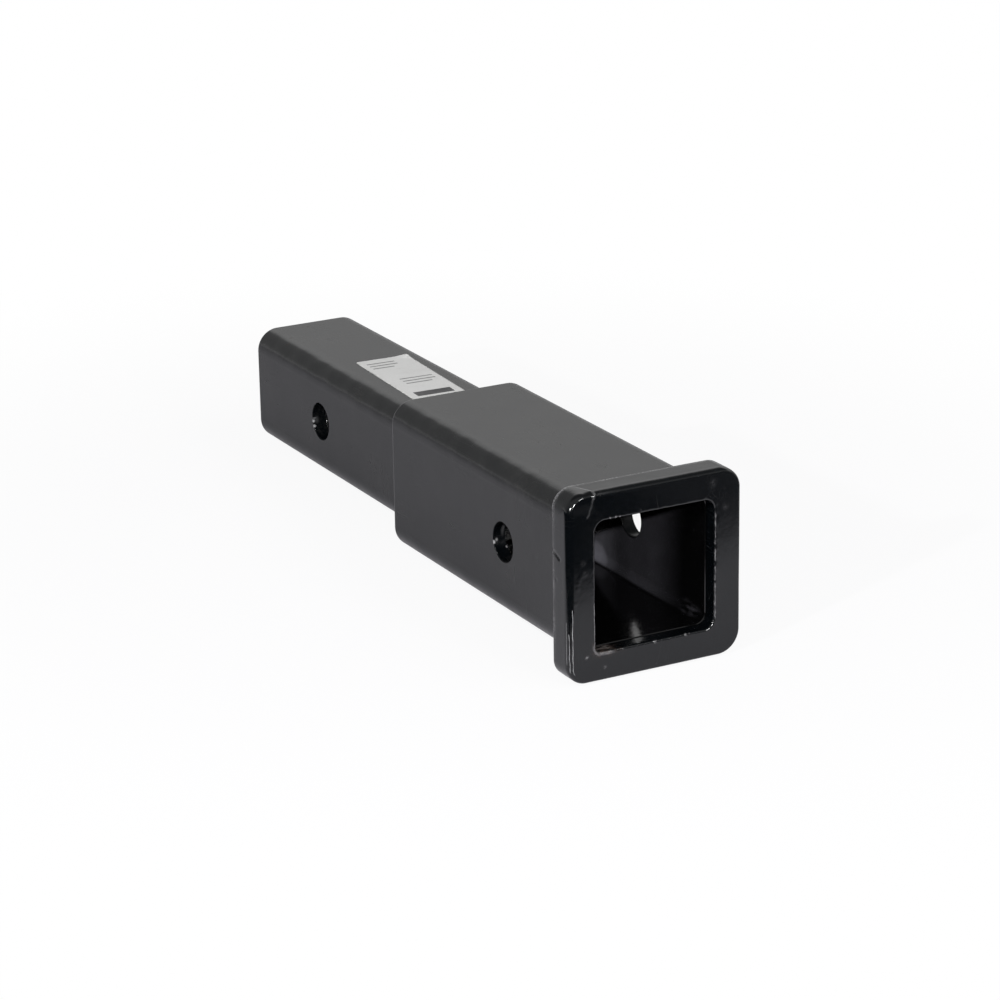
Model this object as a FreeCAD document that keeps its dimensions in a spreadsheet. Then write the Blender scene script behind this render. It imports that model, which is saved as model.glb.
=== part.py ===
"""Hitch receiver extender: a square shank welded into a larger receiver tube with a mouth collar.

Millimetres, +Z up. The tubes run along Y: the mouth faces -Y and the shank points to +Y.
The origin is the middle of the shank's pin hole, which goes through along X.
"""
import FreeCAD, Part
import math
import os
import Sketcher
from FreeCAD import Vector

# Driving dimensions. Every other size and place is worked out from these by formula.
SIZES = {
    # shank tube, which slides into the vehicle's receiver
    "shank_width": 50.8,
    "shank_wall": 6.35,
    "shank_corner": 9.525,
    "shank_length": 177.8,
    "shank_hole_from_end": 63.5,
    "shank_insertion": 31.75,
    # receiver tube, which takes the next shank: its inside is the shank's width and a clearance
    "socket_clearance": 0.794,
    "tube_wall": 5.556,
    "tube_corner": 9.525,
    "tube_length": 152.4,
    "tube_hole_from_mouth": 63.5,
    "tube_mouth_chamfer": 0.65,
    # pin holes, and the eased edges of cut ends and drilled holes
    "pin_width": 15.875,
    "pin_clearance": 0.3,
    "hole_edge": 0.3,
    "end_edge": 0.5,
    # collar around the mouth, with a lip that covers the receiver tube's end
    "collar_wall": 6.35,
    "collar_corner": 9.525,
    "collar_depth": 12.7,
    "collar_lip": 6.35,
    "collar_front_edge": 2.4,
    "collar_back_edge": 0.8,
    "collar_clearance": 0.2,
    "mouth_relief": 0.1,
    "mouth_corner": 4.5,
    "mouth_edge": 0.9,
    # fillet welds: the leg on each wall, and the radius of the crowned face
    "step_bead_leg": 5.0,
    "step_bead_crown": 7.0,
    "collar_bead_leg": 4.5,
    "collar_bead_crown": 6.5,
    # label on the shank's top, turned a little as it was stuck on
    "label_width": 24.5,
    "label_length": 70.0,
    "label_thickness": 0.15,
    "label_corner": 1.6,
    "label_side": 0.6,
    "label_gap": 2.55,
    "label_turn": 2.8,
}

# Formulas that several pieces share.
SHANK_INSIDE = "(Sizes.shank_width - 2 * Sizes.shank_wall)"
TUBE_INSIDE = "(Sizes.shank_width + 2 * Sizes.socket_clearance)"
TUBE_WIDTH = f"({TUBE_INSIDE} + 2 * Sizes.tube_wall)"
COLLAR_WIDTH = f"({TUBE_WIDTH} + 2 * Sizes.collar_wall)"
PIN_HOLE = "(Sizes.pin_width + Sizes.pin_clearance)"
TUBE_BACK = "(Sizes.shank_hole_from_end - Sizes.shank_length + Sizes.shank_insertion)"
MOUTH = f"({TUBE_BACK} - Sizes.tube_length - Sizes.collar_lip)"

# Sketcher's names for the ends and middle of a line or arc, and for the sketch's own axes.
START, END, CENTRE = range(1, 4)
HORIZONTAL_AXIS, VERTICAL_AXIS = range(-1, -3, -1)
ORIGIN_POINT = (HORIZONTAL_AXIS, START)

TOLERANCE = 0.01


def make_sheet(doc):
    """One row for each driving dimension: its name in words, its value and its alias."""
    sheet = doc.addObject("Spreadsheet::Sheet", "Sizes")
    for row, (name, size) in enumerate(SIZES.items(), start=1):
        sheet.set(f"A{row}", name.replace("_", " "))
        sheet.set(f"B{row}", str(size))
        sheet.setAlias(f"B{row}", name)
    doc.recompute()


def number(thing, formula):
    """What a formula comes to now, for first guesses and for finding edges."""
    return float(thing.evalExpression(formula))


def new_body(doc, label, place):
    """A body whose own origin plane stands at a place along Y."""
    body = doc.addObject("PartDesign::Body", label)
    body.Label = label
    body.setExpression("Placement.Base.y", place)
    return body


def new_sketch(body, name, role, offset=None):
    """A sketch on one of the body's origin planes, moved along its normal by a formula."""
    sketch = body.newObject("Sketcher::SketchObject", name)
    plane = next(feature for feature in body.Origin.OriginFeatures if feature.Role == role)
    sketch.AttachmentSupport = [(plane, "")]
    sketch.MapMode = "FlatFace"
    if offset:
        sketch.setExpression("AttachmentOffset.Base.z", offset)
    return sketch


def dimension(sketch, name, formula, kind, *points):
    """A named dimension of a sketch, bound to a formula."""
    index = sketch.addConstraint(Sketcher.Constraint(kind, *points, number(sketch, formula)))
    sketch.renameConstraint(index, name)
    sketch.setExpression(f"Constraints.{name}", formula)


def add_rounded_rectangle(sketch, prefix, width, height, corner):
    """Four sides and four equal corner arcs about the sketch's origin, in turn."""
    x = number(sketch, width) / 2
    y = number(sketch, height) / 2
    r = number(sketch, corner)
    first = sketch.GeometryCount
    outline = [
        ((-x + r, -y), (x - r, -y), (x - r, -y + r)),
        ((x, -y + r), (x, y - r), (x - r, y - r)),
        ((x - r, y), (-x + r, y), (-x + r, y - r)),
        ((-x, y - r), (-x, -y + r), (-x + r, -y + r)),
    ]
    for quarter, (start, end, centre) in enumerate(outline):
        angle = math.radians(90 * (quarter - 1))
        circle = Part.Circle(Vector(*centre, 0), Vector(0, 0, 1), r)
        sketch.addGeometry(Part.LineSegment(Vector(*start, 0), Vector(*end, 0)))
        sketch.addGeometry(Part.ArcOfCircle(circle, angle, angle + math.pi / 2))
    bottom, right, top, left = (first + 2 * quarter for quarter in range(4))
    arcs = [side + 1 for side in (bottom, right, top, left)]
    pieces = [bottom, arcs[0], right, arcs[1], top, arcs[2], left, arcs[3]]
    for piece, following in zip(pieces, pieces[1:] + pieces[:1]):
        sketch.addConstraint(Sketcher.Constraint("Tangent", piece, END, following, START))
    for side in (bottom, top):
        sketch.addConstraint(Sketcher.Constraint("Horizontal", side))
    for side in (right, left):
        sketch.addConstraint(Sketcher.Constraint("Vertical", side))
    for arc in arcs[1:]:
        sketch.addConstraint(Sketcher.Constraint("Equal", arcs[0], arc))
    sketch.addConstraint(Sketcher.Constraint("Symmetric", arcs[0], CENTRE, arcs[2], CENTRE, *ORIGIN_POINT))
    dimension(sketch, f"{prefix}_corner", corner, "Radius", arcs[0])
    dimension(sketch, f"{prefix}_width", width, "DistanceX", left, START, right, START)
    dimension(sketch, f"{prefix}_height", height, "DistanceY", bottom, START, top, START)


def pad(body, sketch, name, length, towards_plus=False):
    """The sketch pulled out along its normal, or the other way."""
    feature = body.newObject("PartDesign::Pad", name)
    feature.Profile = sketch
    feature.Reversed = towards_plus
    feature.setExpression("Length", length)
    return feature


def pocket(body, sketch, name, depth=None):
    """The sketch cut into the solid along +Y, to a depth or right through."""
    feature = body.newObject("PartDesign::Pocket", name)
    feature.Profile = sketch
    if depth:
        feature.setExpression("Length", depth)
    else:
        feature.Type = "ThroughAll"
    return feature


def drill_pin_hole(body, name, distance):
    """A round hole across both walls, along X, at a distance on the -Y side of the body's plane."""
    sketch = new_sketch(body, f"{name}_circle", "YZ_Plane")
    radius = number(sketch, PIN_HOLE) / 2
    sketch.addGeometry(Part.Circle(Vector(-number(sketch, distance), 0, 0), Vector(0, 0, 1), radius))
    sketch.addConstraint(Sketcher.Constraint("PointOnObject", 0, CENTRE, HORIZONTAL_AXIS))
    dimension(sketch, "from_plane", distance, "DistanceX", 0, CENTRE, *ORIGIN_POINT)
    dimension(sketch, "hole_width", PIN_HOLE, "Diameter", 0)
    feature = pocket(body, sketch, name)
    feature.SideType = "Symmetric"


def ease(body, name, size, wanted, kind="Fillet"):
    """A fillet or chamfer along every edge of the body so far that is wanted."""
    body.Document.recompute()
    base = body.Tip
    edges = [f"Edge{i}" for i, edge in enumerate(base.Shape.Edges, start=1) if wanted(edge)]
    feature = body.newObject(f"PartDesign::{kind}", name)
    feature.Base = (base, edges)
    feature.setExpression("Radius" if kind == "Fillet" else "Size", size)


def on_outline(body, place, width):
    """Picks edges that run around the square of a width, in the plane at a place along Y."""
    y = number(body, place)
    half = number(body, width) / 2

    def wanted(edge):
        return all(
            abs(point.Y - y) < TOLERANCE and abs(max(abs(point.X), abs(point.Z)) - half) < TOLERANCE
            for point in edge.Vertexes
        )

    return wanted


def on_pin_hole(body):
    """Picks the rims of the pin hole, on both faces of both walls."""
    radius = number(body, PIN_HOLE) / 2

    def wanted(edge):
        curve = edge.Curve
        return isinstance(curve, Part.Circle) and abs(curve.Radius - radius) < TOLERANCE

    return wanted


def make_square_tube(doc, label, size, width, inside, place):
    """A rounded square tube that runs from the body's plane towards -Y."""
    body = new_body(doc, label, place)
    section = new_sketch(body, f"{label}_section", "XZ_Plane")
    corner = f"Sizes.{size}_corner"
    add_rounded_rectangle(section, "outside", width, width, corner)
    add_rounded_rectangle(section, "inside", inside, inside, f"{corner} - Sizes.{size}_wall")
    pad(body, section, f"{label}_wall", f"Sizes.{size}_length")
    return body


def make_shank_tube(doc):
    width = "Sizes.shank_width"
    place = "Sizes.shank_hole_from_end"
    body = make_square_tube(doc, "shank_tube", "shank", width, SHANK_INSIDE, place)
    drill_pin_hole(body, "shank_pin_hole", "Sizes.shank_hole_from_end")
    ease(body, "shank_hole_rims", "Sizes.hole_edge", on_pin_hole(body))
    ease(body, "shank_end_edge", "Sizes.end_edge", on_outline(body, "0", width))
    return body


def make_receiver_tube(doc):
    body = make_square_tube(doc, "receiver_tube", "tube", TUBE_WIDTH, TUBE_INSIDE, TUBE_BACK)
    hole_from_back = "Sizes.tube_length + Sizes.collar_lip - Sizes.tube_hole_from_mouth"
    drill_pin_hole(body, "receiver_pin_hole", hole_from_back)
    ease(body, "receiver_hole_rims", "Sizes.hole_edge", on_pin_hole(body))
    ease(body, "receiver_back_edge", "Sizes.end_edge", on_outline(body, "0", TUBE_WIDTH))
    mouth_end = on_outline(body, "-Sizes.tube_length", TUBE_INSIDE)
    ease(body, "receiver_mouth_chamfer", "Sizes.tube_mouth_chamfer", mouth_end, "Chamfer")
    return body


def make_mouth_collar(doc):
    """A square ring: its back half fits around the tube, and its lip narrows to the tube's inside."""
    body = new_body(doc, "mouth_collar", MOUTH)
    outside = new_sketch(body, "collar_outside", "XZ_Plane")
    add_rounded_rectangle(outside, "outside", COLLAR_WIDTH, COLLAR_WIDTH, "Sizes.collar_corner")
    pad(body, outside, "collar_ring", "Sizes.collar_depth", towards_plus=True)
    opening = f"({TUBE_INSIDE} + 2 * Sizes.mouth_relief)"
    mouth = new_sketch(body, "collar_mouth", "XZ_Plane")
    add_rounded_rectangle(mouth, "mouth", opening, opening, "Sizes.mouth_corner")
    pocket(body, mouth, "collar_opening")
    seat_width = f"({TUBE_WIDTH} + 2 * Sizes.collar_clearance)"
    seat = new_sketch(body, "collar_seat_outline", "XZ_Plane", "-Sizes.collar_lip")
    add_rounded_rectangle(seat, "seat", seat_width, seat_width, "Sizes.tube_corner + Sizes.collar_clearance")
    pocket(body, seat, "collar_seat")
    ease(body, "collar_front_edge", "Sizes.collar_front_edge", on_outline(body, "0", COLLAR_WIDTH))
    ease(body, "collar_mouth_edge", "Sizes.mouth_edge", on_outline(body, "0", opening))
    back = on_outline(body, "Sizes.collar_depth", COLLAR_WIDTH)
    ease(body, "collar_back_edge", "Sizes.collar_back_edge", back)
    return body


def make_weld_bead(doc, label, bead, width, corner, place):
    """A crowned fillet weld around a tube of a width, against the face at the body's plane."""
    body = new_body(doc, label, place)
    path = new_sketch(body, f"{label}_path", "XZ_Plane")
    add_rounded_rectangle(path, "path", width, width, corner)
    section = new_sketch(body, f"{label}_section", "YZ_Plane", f"{width} / 2 - {corner}")
    add_bead_section(section, f"{width} / 2", f"Sizes.{bead}_leg", f"Sizes.{bead}_crown")
    doc.recompute()
    feature = body.newObject("PartDesign::AdditivePipe", f"{label}_sweep")
    feature.Profile = section
    feature.Spine = (path, [f"Edge{i}" for i in range(1, len(path.Shape.Edges) + 1)])
    feature.Mode = "Frenet"
    return body


def make_step_weld(doc):
    """Joins the shank to the receiver tube's back end."""
    width = "Sizes.shank_width"
    return make_weld_bead(doc, "step_weld", "step_bead", width, "Sizes.shank_corner", TUBE_BACK)


def make_collar_weld(doc):
    """Joins the receiver tube to the collar's back face."""
    collar_back = f"{MOUTH} + Sizes.collar_depth"
    return make_weld_bead(doc, "collar_weld", "collar_bead", TUBE_WIDTH, "Sizes.tube_corner", collar_back)


def add_bead_section(sketch, height, leg, crown):
    """The weld's section: a leg up the face, a leg along the tube and a crowned arc between them."""
    z = number(sketch, height)
    a = number(sketch, leg)
    r = number(sketch, crown)
    half_chord = a / math.sqrt(2)
    to_centre = math.sqrt(r * r - half_chord * half_chord) / math.sqrt(2)
    centre = Vector(a / 2 - to_centre, z + a / 2 - to_centre, 0)
    spread = math.asin(half_chord / r)
    middle = math.radians(45)
    arc = Part.ArcOfCircle(Part.Circle(centre, Vector(0, 0, 1), r), middle - spread, middle + spread)
    up, over, along = range(3)
    sketch.addGeometry(Part.LineSegment(Vector(0, z, 0), Vector(0, z + a, 0)))
    sketch.addGeometry(arc)
    sketch.addGeometry(Part.LineSegment(Vector(a, z, 0), Vector(0, z, 0)))
    sketch.addConstraint(Sketcher.Constraint("Coincident", up, END, over, END))
    sketch.addConstraint(Sketcher.Constraint("Coincident", over, START, along, START))
    sketch.addConstraint(Sketcher.Constraint("Coincident", along, END, up, START))
    sketch.addConstraint(Sketcher.Constraint("PointOnObject", up, START, VERTICAL_AXIS))
    sketch.addConstraint(Sketcher.Constraint("Vertical", up))
    sketch.addConstraint(Sketcher.Constraint("Horizontal", along))
    sketch.addConstraint(Sketcher.Constraint("Equal", up, along))
    dimension(sketch, "height", height, "DistanceY", *ORIGIN_POINT, up, START)
    dimension(sketch, "leg", leg, "DistanceY", up, START, up, END)
    dimension(sketch, "crown", crown, "Radius", over)


def make_label(doc):
    """A thin sticker flat on the shank's top, its long side almost along the shank."""
    near_end = f"{TUBE_BACK} + Sizes.step_bead_leg + Sizes.label_gap"
    body = new_body(doc, "label", f"{near_end} + Sizes.label_length / 2")
    body.setExpression("Placement.Base.x", "Sizes.label_side")
    body.setExpression("Placement.Base.z", "Sizes.shank_width / 2")
    body.setExpression("Placement.Rotation.Angle", "-Sizes.label_turn")
    outline = new_sketch(body, "label_outline", "XY_Plane")
    add_rounded_rectangle(outline, "label", "Sizes.label_width", "Sizes.label_length", "Sizes.label_corner")
    pad(body, outline, "label_sheet", "Sizes.label_thickness")
    return body


def check(doc, bodies):
    """Stops before anything is written if an object failed or a piece is not one good solid."""
    for thing in doc.Objects:
        if {"Invalid", "Error"} & set(thing.State):
            raise RuntimeError(f"{thing.Label} failed: {thing.State}")
    for body in bodies:
        shape = body.Shape
        if shape.isNull() or not shape.isValid() or len(shape.Solids) != 1 or shape.Volume <= 0:
            raise RuntimeError(f"{body.Label} is not one valid solid")


def main():
    doc = FreeCAD.newDocument("hitch_receiver_extender")
    make_sheet(doc)
    bodies = [
        make_shank_tube(doc),
        make_receiver_tube(doc),
        make_mouth_collar(doc),
        make_step_weld(doc),
        make_collar_weld(doc),
        make_label(doc),
    ]
    doc.recompute()
    check(doc, bodies)
    os.makedirs("parts", exist_ok=True)
    for body in bodies:
        body.Shape.exportStep(f"parts/{body.Label}.step")
        box = body.Shape.BoundBox
        print(f"{body.Label}: {body.Shape.Volume:.1f} mm3, y {box.YMin:.2f} to {box.YMax:.2f}")


main()
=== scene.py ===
"""Looks of a black powder-coated hitch receiver extender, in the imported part's own frame.

Lengths are in millimetres until a mesh is made, unless a comment says metres.
"""
import math

import bpy
import numpy as np
from mathutils import Matrix, Vector, noise


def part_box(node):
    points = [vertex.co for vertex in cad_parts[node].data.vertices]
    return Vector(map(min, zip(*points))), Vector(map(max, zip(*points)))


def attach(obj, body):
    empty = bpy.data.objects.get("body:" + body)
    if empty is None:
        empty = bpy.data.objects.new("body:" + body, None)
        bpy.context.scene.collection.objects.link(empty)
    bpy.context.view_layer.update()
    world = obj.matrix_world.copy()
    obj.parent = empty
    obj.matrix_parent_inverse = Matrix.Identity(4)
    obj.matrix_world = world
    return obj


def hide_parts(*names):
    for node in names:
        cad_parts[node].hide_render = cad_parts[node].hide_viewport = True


MM = 0.001
RIGHT_ANGLE = math.pi / 2
FULL_TURN = 2 * math.pi
TINY = 1e-9

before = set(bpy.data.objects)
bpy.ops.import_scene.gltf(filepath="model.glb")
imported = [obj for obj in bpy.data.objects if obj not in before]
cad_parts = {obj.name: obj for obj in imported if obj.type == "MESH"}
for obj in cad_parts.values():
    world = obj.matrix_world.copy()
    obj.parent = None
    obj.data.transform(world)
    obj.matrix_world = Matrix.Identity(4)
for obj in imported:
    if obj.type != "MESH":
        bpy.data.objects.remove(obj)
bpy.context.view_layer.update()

# Camera, found by fitting the tubes' straight edges in the photograph: metres, degrees, pixels.
CAMERA_PLACE = Vector((-0.64581, -1.32456, 0.46437))
CAMERA_YAW = -28.749
CAMERA_PITCH = -19.481
CAMERA_ROLL = -0.730
CAMERA_CLIP_START = 0.01
FOCAL_PIXELS = 3524.5
PRINCIPAL_POINT = (536.4, 531.7)
IMAGE_PIXELS = 1000

# Sizes that the frame's boxes don't give. Corners are the upper right, upper left, lower left
# and lower right.
UPPER_RIGHT, LOWER_LEFT = 0, 2
TUBE_CORNER = 9.525
TUBE_WALL = 5.556
SHANK_WALL = 6.35
HOLE_RADIUS = 8.0875
SHANK_HOLE_Y = 0.0
RECEIVER_HOLE_Y = -177.8
COLLAR_CORNERS = np.array([8.6, 7.8, 7.4, 9.6])
COLLAR_SEAT_GAP = 0.2
LIP = 6.35
MOUTH_HALF = 26.294
MOUTH_CORNERS = np.array([4.2, 4.5, 2.2, 4.2])
MOUTH_EDGE = 0.9

# The collar's ground front edge: how far it goes in from the side, and back from the front.
COLLAR_LEFT_EDGE = (2.4, 3.6)
COLLAR_TOP_EDGE = (1.6, 3.6)
COLLAR_SHARP_EDGE = (1.1, 1.3)
COLLAR_BACK_EDGE = 0.7
COLLAR_BACK_FALL = 0.04

# The paint sag at the collar's upper left corner, how pale each of its stretches is painted as a
# painted highlight, and the faint painted gleam beside it on the top front edge.
SAG_PATH = [
    (-30.5, -229.0, 37.5), (-28.2, -234.0, 38.1), (-26.5, -238.0, 38.0), (-26.2, -240.6, 37.4),
    (-27.1, -241.3, 35.6), (-27.5, -241.3, 34.4), (-27.9, -241.3, 32.6), (-28.7, -241.3, 31.0),
    (-28.9, -241.3, 29.9), (-29.7, -241.3, 28.8),
]
SAG_PALENESS = (0.42, 0.42, 0.34, 0.18, 0.09, 0.06, 0.07, 0.07, 0.08)
TOP_GLEAM = [(-24.7, -241.0, 37.4), (-15.3, -241.0, 37.8)]

# Paint that pooled down the lower left of the rounded front edge. The ridges are paths. The lines
# are painted highlights along them: distance from the axis, half width, lowest and highest z,
# strength and whether it wanders.
POOLED_RIDGES = [
    [(-36.3, -241.1, -8.5), (-36.3, -241.1, -27), (-35.6, -241.1, -30.4), (-33.7, -241.1, -33.3)],
    [(-37.5, -240.0, -17), (-37.5, -240.0, -27), (-36.7, -240.3, -30.9)],
]
POOLED_HIGHLIGHT_LINES = [
    (36.35, 0.20, -34.0, -6.8, 1.0, True),
    (37.35, 0.16, -33.0, -16.5, 0.75, True),
    (37.9, 0.07, -30.0, -12.0, 0.45, False),
]

# Nibs and drips under the front's paint: x, z, radius, height and how bare their tips are.
NIBS = [
    (-31.7, 11.2, 0.9, 0.10, 0.10), (-30.9, 7.0, 0.9, 0.10, 0.10), (-31.9, 6.0, 0.7, 0.05, 0.05),
    (-33.3, 4.9, 0.8, 0.06, 0.0), (-34.0, 2.9, 0.7, 0.05, 0.0), (-34.1, 1.0, 0.7, 0.05, 0.0),
    (-35.0, -5.0, 0.8, 0.05, 0.05), (-30.3, -27.4, 0.5, 0.22, 0.9),
    (-22.5, -32.7, 0.6, 0.18, 0.35), (25.5, 33.0, 1.4, 0.05, 0.1), (31.0, 22.7, 1.2, 0.05, 0.1),
]

# Burrs on the mouth's cut edge, their tips painted pale as painted glints: x, z and radius.
MOUTH_BURRS = [
    (-0.1, -26.8, 0.45), (13.6, -26.6, 0.4), (15.2, -26.4, 0.25), (24.2, -24.6, 0.5),
    (25.5, -23.4, 0.5), (-19.8, 26.8, 0.4), (-17.2, 26.8, 0.4), (-15.5, 26.8, 0.3),
]

# A chip on the back edge of the collar's left side, the bare rim above it and a nick below it.
CHIP = [(-38.1, -229.0, 14.0), (-38.1, -231.2, 13.0), (-38.1, -234.6, 11.5)]
CHIP_RIM = [(-38.1, -229.6, 15.0), (-38.1, -234.2, 12.6)]
NICK = (-38.1, -231.7, 2.6)

# Glints painted pale in the pin holes' bores: centre, reach on each axis and strength.
RECEIVER_GLINTS = [
    ((-31.6, -169.8, -2.3), (1.0, 1.2, 1.1), 1.6), ((-30.3, -170.1, -1.5), (0.9, 1.2, 1.1), 0.7),
    ((-26.5, -170.8, -4.9), (0.8, 1.0, 0.8), 1.5), ((-27.6, -171.0, 2.0), (1.3, 2.5, 4), 0.22),
]
SHANK_GLINTS = [
    ((-25.1, 7.9, -1.9), (1.0, 1.2, 0.9), 1.6), ((-25.0, 7.4, -4.1), (1.0, 1.2, 1.0), 1.6),
    ((-24.6, 8.0, -0.7), (1.4, 1.0, 0.6), 0.4), ((-23.5, 7.8, -1.5), (1.6, 1.2, 2.5), 0.12),
]

# Rusty rub marks on the shank: centre and reach on each axis.
SHANK_MARKS = [
    ((-3.9, 56.8, 25.4), (5, 2.4, 2)), ((-17, 45, 25.4), (3, 1.6, 2)),
    ((-21, 41, 24.5), (3, 1.4, 2)),
]

# The label, with its generic print: the rules' middles and lengths, and the bar's middle and size.
LABEL_TURN = -2.8
LABEL_SIZE = (24.5, 70.0)
LABEL_CORNER = 1.6
LABEL_CENTRE = (0.6, -40.0)
RULES = [
    ((-3.0, 29.0), 13.0), ((-3.0, 25.5), 13.0), ((-4.5, 22.0), 10.0),
    ((2.0, 3.0), 15.0), ((2.0, -0.5), 15.0), ((0.5, -4.0), 12.0),
]
RULE_WIDTH = 1.1
BAR_MIDDLE, BAR_SIZE = (0, -20), (17, 6)

# Colours of the steel parts, their dirt and wear, their painted highlights and the grey of the
# receiver's inner side walls, then of the label.
BLACK = (0.0009, 0.0014, 0.0019, 1)
DUSTY = (0.0150, 0.0145, 0.0140, 1)
WORN_AND_GLINT = (0.12, 0.118, 0.122, 1)
RUST = (0.036, 0.024, 0.019, 1)
PAINTED_HIGHLIGHT = (0.24, 0.24, 0.245, 1)
SOCKET_BLACK = (0.0012, 0.0012, 0.0013, 1)
INSIDE_WALL_GREY = (0.076, 0.075, 0.086, 1)
HOLLOW_BLACK = (0.0020, 0.0018, 0.0016, 1)
HOLLOW_DUST = (0.005, 0.0045, 0.004, 1)
LIP_DIRT = (0.085, 0.075, 0.071, 1)
FOOT_DIRT = (0.125, 0.12, 0.125, 1)
PAPER = (0.605, 0.605, 0.60, 1)
PAPER_FIBRE = (0.645, 0.645, 0.635, 1)
SOIL = (0.36, 0.35, 0.34, 1)
GRIME = (0.16, 0.155, 0.15, 1)
RULE_INK = (0.045, 0.045, 0.05, 1)
BAR_INK = (0.018, 0.018, 0.020, 1)

# Coats: the plain specular level and refractive index, and where noise has its middle.
PLAIN_SPECULAR = 0.5
COAT_IOR = 1.5
NOISE_MIDDLE = 0.5
ALONG_Z_ONLY = (1000, 1000, 1)

# The studio, in metres. Its backdrop lies along a level direction.
BACKDROP_WAY = Vector((0.481, 0.877, 0))
BACKDROP_RIGHT = Vector((0.877, -0.481, 0))
FLOOR_REACH = 2.5
FLOOR_GAP = 0.0002
FLOOR_TINT = (0.72, 0.71, 0.75, 1)
FLOOR_FRONT_WAY, FLOOR_LEFT_WAY = (0.34, 0.94, 0), (0.82, 0.57, 0)
FLOOR_FAR_WAY = (0.48, 0.877, 0)

# Levels that gloss sees in the studio: from and to, in degrees, and the level at each.
WALL_LEVEL = (2, 8, 0.90, 0.41)
FRONT_LEVEL = (5, 42, 0.06, 0.46)
SCREEN_LEVEL = (14.5, 27, 0.50, 1.05)
CEILING_LEVEL = 0.13
SOFT_LEVEL = 0.27

# Lamps at one distance from the part's middle, in metres and watts: name, way, size, power and
# what it shows on.
LAMP_DISTANCE = 1.6
LAMP_TARGET = Vector((0, -0.18, 0))
LAMPS = [
    ("key", (-0.877, -0.335, 0.343), 0.20, 16, "gloss"),
    ("key_core", (-0.844, -0.372, 0.387), 0.05, 15, "matt"),
    ("front", (-0.44, -0.82, 0.37), 0.28, 22, "gloss"),
    ("front_core", (-0.44, -0.82, 0.377), 0.05, 22, "matt"),
    ("fill", (0.511, -0.489, 0.707), 0.9, 5, "matt"),
    ("rim", (0.17, -0.90, 0.42), 0.42, 20, "gloss"),
    ("rim_core", (0.19, -0.89, 0.42), 0.38, 6, "matt"),
]


def box_mm(node):
    """The lowest and highest corner of a CAD node."""
    low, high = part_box(node)
    return low / MM, high / MM


COLLAR_LOW, COLLAR_HIGH = box_mm("mouth_collar")
RECEIVER_LOW, RECEIVER_HIGH = box_mm("receiver_tube")
SHANK_LOW, SHANK_HIGH = box_mm("shank_tube")
STEP_LOW, STEP_HIGH = box_mm("step_weld")
BEAD_LOW, BEAD_HIGH = box_mm("collar_weld")


def make_camera():
    """The photograph's camera: a long lens, a little above the part and to its left."""
    yaw = math.radians(CAMERA_YAW)
    pitch = math.radians(CAMERA_PITCH)
    roll = math.radians(CAMERA_ROLL)
    level_way = math.cos(pitch)
    forward = Vector((-math.sin(yaw) * level_way, math.cos(yaw) * level_way, math.sin(pitch)))
    level_right = Vector((math.cos(yaw), math.sin(yaw), 0))
    level_up = level_right.cross(forward)
    right = math.cos(roll) * level_right + math.sin(roll) * level_up
    up = math.cos(roll) * level_up - math.sin(roll) * level_right
    camera = bpy.data.objects.new("camera", bpy.data.cameras.new("camera"))
    bpy.context.scene.collection.objects.link(camera)
    turn = Matrix((right, up, -forward)).transposed()
    camera.matrix_world = Matrix.Translation(CAMERA_PLACE) @ turn.to_4x4()
    camera.data.lens = FOCAL_PIXELS / IMAGE_PIXELS * camera.data.sensor_width
    camera.data.shift_x = (IMAGE_PIXELS / 2 - PRINCIPAL_POINT[0]) / IMAGE_PIXELS
    camera.data.shift_y = (PRINCIPAL_POINT[1] - IMAGE_PIXELS / 2) / IMAGE_PIXELS
    camera.data.clip_start = CAMERA_CLIP_START
    bpy.context.scene.camera = camera


class Nodes:
    """Adds nodes to one tree. An input is a number, a colour or another node's socket."""

    def __init__(self, tree):
        self.tree = tree
        tree.nodes.clear()

    def add(self, kind, inputs=(), **settings):
        node = self.tree.nodes.new(f"ShaderNode{kind}")
        for name, value in settings.items():
            setattr(node, name, value)
        for key, value in dict(inputs).items():
            self.feed(node.inputs[key], value)
        return node

    def feed(self, socket, value):
        if isinstance(value, bpy.types.NodeSocket):
            self.tree.links.new(value, socket)
        else:
            socket.default_value = value

    def maths(self, operation, *values):
        node = self.add("Math", operation=operation)
        for socket, value in zip(node.inputs, values):
            self.feed(socket, value)
        return node.outputs[0]

    def product(self, first, *others):
        for other in others:
            first = self.maths("MULTIPLY", first, other)
        return first

    def total(self, first, *others):
        for other in others:
            first = self.maths("ADD", first, other)
        return first

    def minus(self, first, second):
        return self.maths("SUBTRACT", first, second)

    def larger(self, first, second):
        return self.maths("MAXIMUM", first, second)

    def absolute(self, value):
        return self.maths("ABSOLUTE", value)

    def vector(self, operation, *values):
        node = self.add("VectorMath", operation=operation)
        for socket, value in zip(node.inputs, values):
            self.feed(socket, value)
        is_number = operation in ("LENGTH", "DOT_PRODUCT", "DISTANCE")
        return node.outputs["Value" if is_number else "Vector"]

    def ramp(self, value, low, high, to_low=0.0, to_high=1.0, kind="SMOOTHSTEP"):
        """A value's way from low to high, turned into one from to_low to to_high."""
        ends = {"Value": value, "From Min": low, "From Max": high,
                "To Min": to_low, "To Max": to_high}
        return self.add("MapRange", ends, interpolation_type=kind).outputs[0]

    def band(self, value, middle, half_width):
        """1 where a value is at its middle, 0 beyond a half width."""
        return self.ramp(self.absolute(self.minus(value, middle)), half_width, 0)

    def between(self, value, low, high, soft=1.0):
        """1 where a value is between two ends, with a soft stretch inside each."""
        return self.product(self.ramp(value, low, low + soft), self.ramp(value, high, high - soft))

    def mix(self, share, first, second):
        """Two colours, mixed by a share of the second."""
        return self.add("Mix", {0: share, 6: first, 7: second}, data_type="RGBA").outputs[2]

    def blend(self, share, first, second):
        """Two numbers, mixed by a share of the second."""
        return self.add("Mix", {0: share, 2: first, 3: second}, data_type="FLOAT").outputs[0]


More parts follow.
